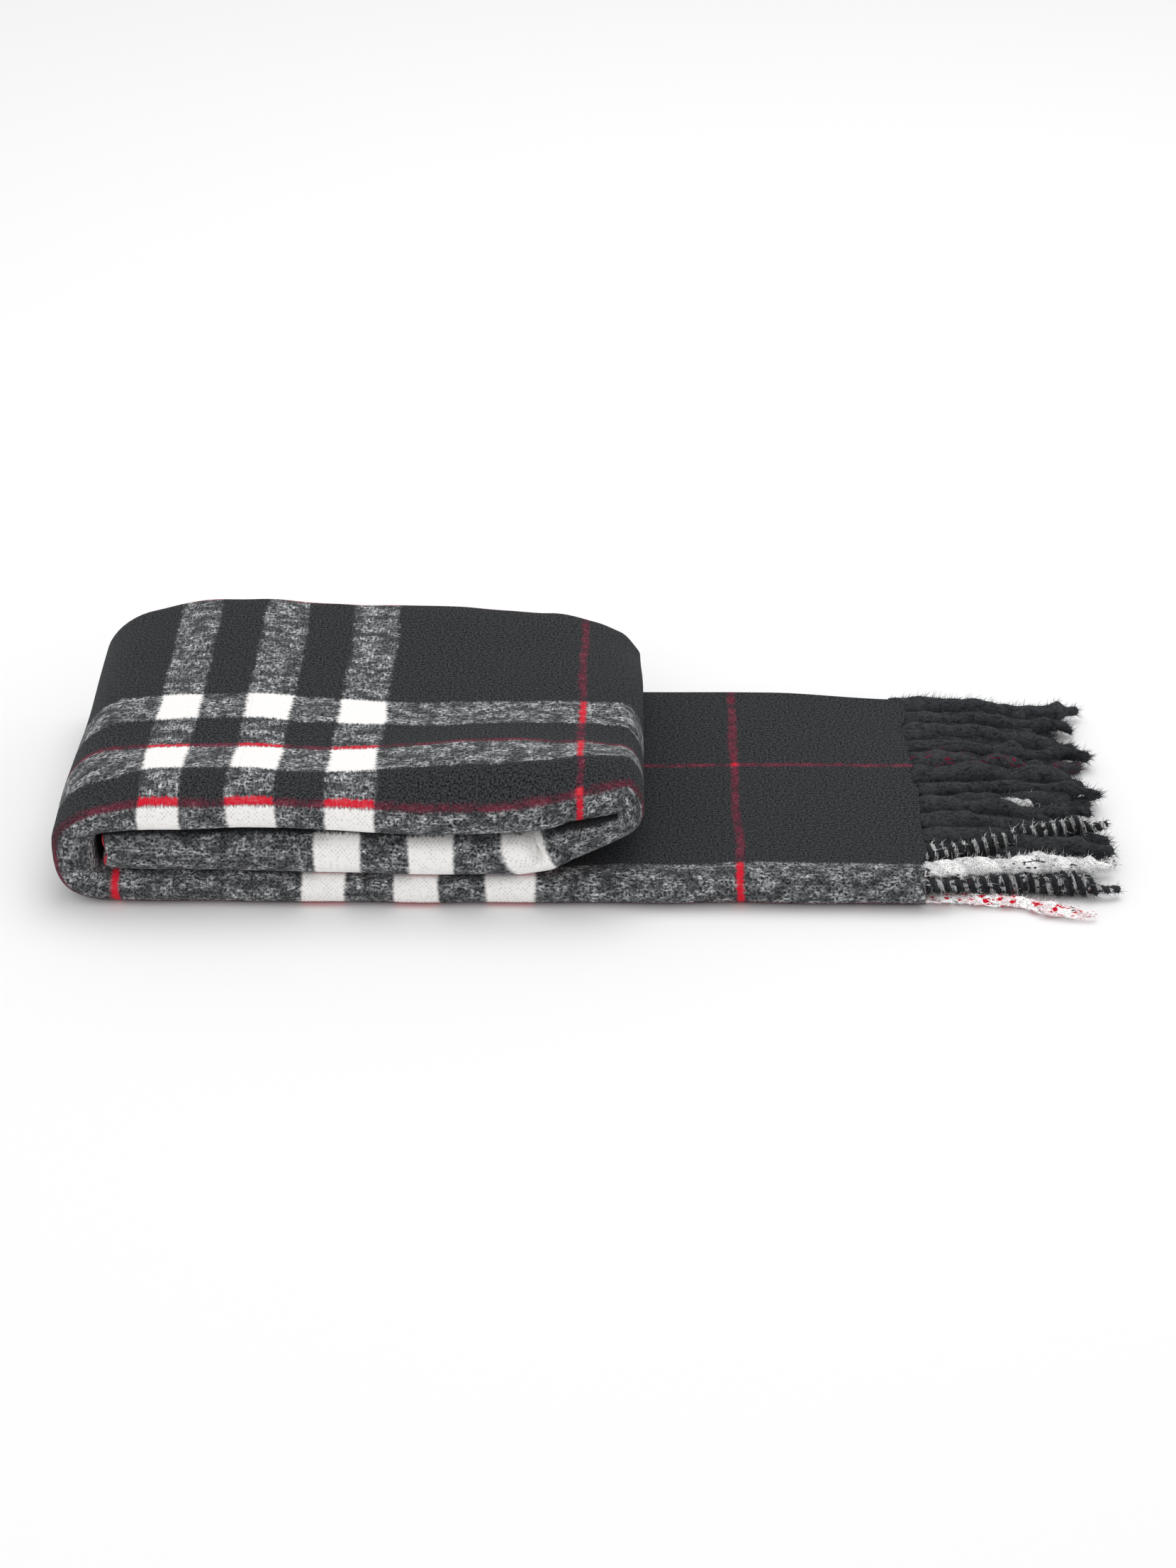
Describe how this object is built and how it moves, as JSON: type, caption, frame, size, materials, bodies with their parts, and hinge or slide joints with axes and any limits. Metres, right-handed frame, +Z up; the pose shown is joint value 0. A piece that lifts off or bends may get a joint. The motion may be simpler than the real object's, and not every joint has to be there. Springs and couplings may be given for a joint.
{
  "type": "folded throw blanket",
  "caption": "Fringed woven plaid throw, folded into a long strip and rolled up flat, with a flat tail that ends in twisted tassels.",
  "frame": {"origin": "on the floor, under the middle of the bounding box", "axes": "+X along the strip, from the roll to the fringe; -Y is the folded front edge; +Z up"},
  "size_m": [0.4844, 0.175, 0.0571],
  "materials": {
    "plaid_cloth": "brushed, napped wool plaid",
    "black_yarn": "twisted brushed yarn",
    "heather_yarn": "twisted brushed yarn",
    "cream_yarn": "twisted brushed yarn",
    "red_yarn": "twisted brushed yarn"
  },
  "bodies": {
    "base": {"bottom_panel": "plaid_cloth", "left_bend": "plaid_cloth"},
    "packet": {"top_panel": "plaid_cloth", "right_bend": "plaid_cloth", "middle_panel": "plaid_cloth", "length_fold": "plaid_cloth"},
    "tail": {"tail_panel": "plaid_cloth"},
    "lower_fringe": {"lower_tassel_01": "cream_yarn", "lower_tassel_02": "heather_yarn", "lower_tassel_03": "black_yarn", "lower_tassel_04": "cream_yarn", "lower_tassel_05": "black_yarn", "lower_tassel_06": "cream_yarn", "lower_tassel_07": "black_yarn", "lower_tassel_08": "black_yarn", "lower_tassel_09": "black_yarn", "lower_tassel_10": "black_yarn", "lower_tassel_11": "black_yarn", "lower_tassel_12": "black_yarn", "lower_tassel_13": "cream_yarn", "lower_tassel_14": "heather_yarn", "lower_tassel_15": "black_yarn", "lower_tassel_16": "cream_yarn", "lower_tassel_17": "black_yarn", "lower_tassel_18": "cream_yarn", "lower_tassel_19": "black_yarn", "lower_tassel_20": "black_yarn", "lower_tassel_21": "black_yarn", "lower_tassel_22": "black_yarn", "lower_tassel_23": "black_yarn", "lower_tassel_24": "black_yarn"},
    "upper_fringe": {"upper_tassel_01": "cream_yarn", "upper_tassel_02": "heather_yarn", "upper_tassel_03": "black_yarn", "upper_tassel_04": "black_yarn", "upper_tassel_05": "black_yarn", "upper_tassel_06": "black_yarn", "upper_tassel_07": "black_yarn", "upper_tassel_08": "red_yarn", "upper_tassel_09": "black_yarn", "upper_tassel_10": "black_yarn", "upper_tassel_11": "black_yarn", "upper_tassel_12": "black_yarn", "upper_tassel_13": "cream_yarn", "upper_tassel_14": "heather_yarn", "upper_tassel_15": "black_yarn", "upper_tassel_16": "black_yarn", "upper_tassel_17": "black_yarn", "upper_tassel_18": "black_yarn", "upper_tassel_19": "black_yarn", "upper_tassel_20": "red_yarn", "upper_tassel_21": "black_yarn", "upper_tassel_22": "black_yarn", "upper_tassel_23": "black_yarn", "upper_tassel_24": "black_yarn"}
  },
  "joints": [
    {"name": "roll_open", "type": "hinge", "parent": "base", "child": "packet", "pos_m": [-0.237, 0, 0.02855], "axis": [0, -1, 0], "range_deg": [0, 180], "deforming": ["left_bend"]},
    {"name": "tail_lift", "type": "hinge", "parent": "base", "child": "tail", "pos_m": [0.028, 0, 0.0172], "axis": [0, -1, 0], "range_deg": [0, 75]},
    {"name": "upper_fringe_lift", "type": "hinge", "parent": "tail", "child": "upper_fringe", "pos_m": [0.153, 0, 0.0181], "axis": [0, -1, 0], "range_deg": [0, 90]},
    {"name": "lower_fringe_lift", "type": "hinge", "parent": "tail", "child": "lower_fringe", "pos_m": [0.153, 0, 0.0181], "axis": [0, -1, 0], "range_deg": [0, 45]}
  ],
  "couplings": [
    {"joint": "lower_fringe_lift", "follows": "upper_fringe_lift", "ratio": 0.5}
  ]
}
